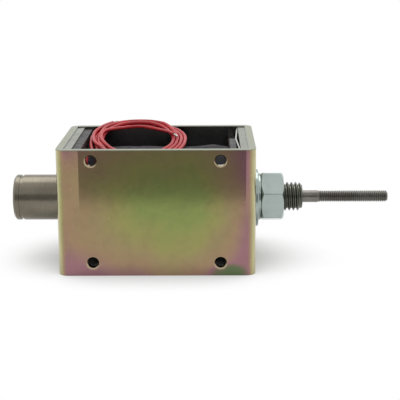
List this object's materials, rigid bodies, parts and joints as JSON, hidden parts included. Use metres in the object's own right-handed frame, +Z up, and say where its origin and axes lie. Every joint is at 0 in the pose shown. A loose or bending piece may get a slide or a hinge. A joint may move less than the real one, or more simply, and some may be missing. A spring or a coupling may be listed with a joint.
{
  "type": "push pull solenoid",
  "caption": "Open-frame push pull solenoid with a sliding plunger, a threaded mounting bush with nut and washers, a threaded push rod and coiled flying leads.",
  "frame": {"origin": "centre of the four tapped mounting holes, on the frame's front face", "axes": "+X along the plunger's axis towards the push rod's tip, -Y out of the front face with the mounting holes, +Z up towards the side that the leads lie on"},
  "size_m": [0.156, 0.0605, 0.0542],
  "materials": {
    "yellow_zinc": "yellow iridescent passivated zinc, satin",
    "pale_zinc": "pale passivated zinc, matt cut edges",
    "white_zinc": "bright bluish zinc",
    "grey_steel": "turned and threaded, grey",
    "turned_steel": "turned, fine circular lay",
    "rod_steel": "drawn bar with rolled thread",
    "spring_steel": "plain spring steel",
    "brass": "plain drawn brass",
    "copper": "enamelled copper wire",
    "nylon": "moulded, semi-matt",
    "black_tape": "glossy adhesive tape",
    "black_sleeving": "shrunk sleeving",
    "red_lead": "smooth insulated wire"
  },
  "bodies": {
    "housing": {"frame": "yellow_zinc", "left_pole_plate": "pale_zinc", "right_pole_plate": "pale_zinc", "leaf_spring": "spring_steel", "bobbin": "nylon", "winding": "copper", "coil_wrap": "black_tape", "guide_sleeve": "brass", "fixed_core": "grey_steel", "flat_washer": "white_zinc", "lock_washer": "white_zinc", "hex_nut": "white_zinc", "lead_sleeves": "black_sleeving", "lead_a": "red_lead", "lead_b": "red_lead", "lead_coil": "red_lead"},
    "plunger": {"plunger": "turned_steel", "push_rod": "rod_steel", "rod_pin": "spring_steel", "stop_washer": "brass"}
  },
  "joints": [
    {"name": "plunger_slide", "type": "slide", "parent": "housing", "child": "plunger", "axis": [1, 0, 0], "range_m": [0, 0.015]}
  ]
}
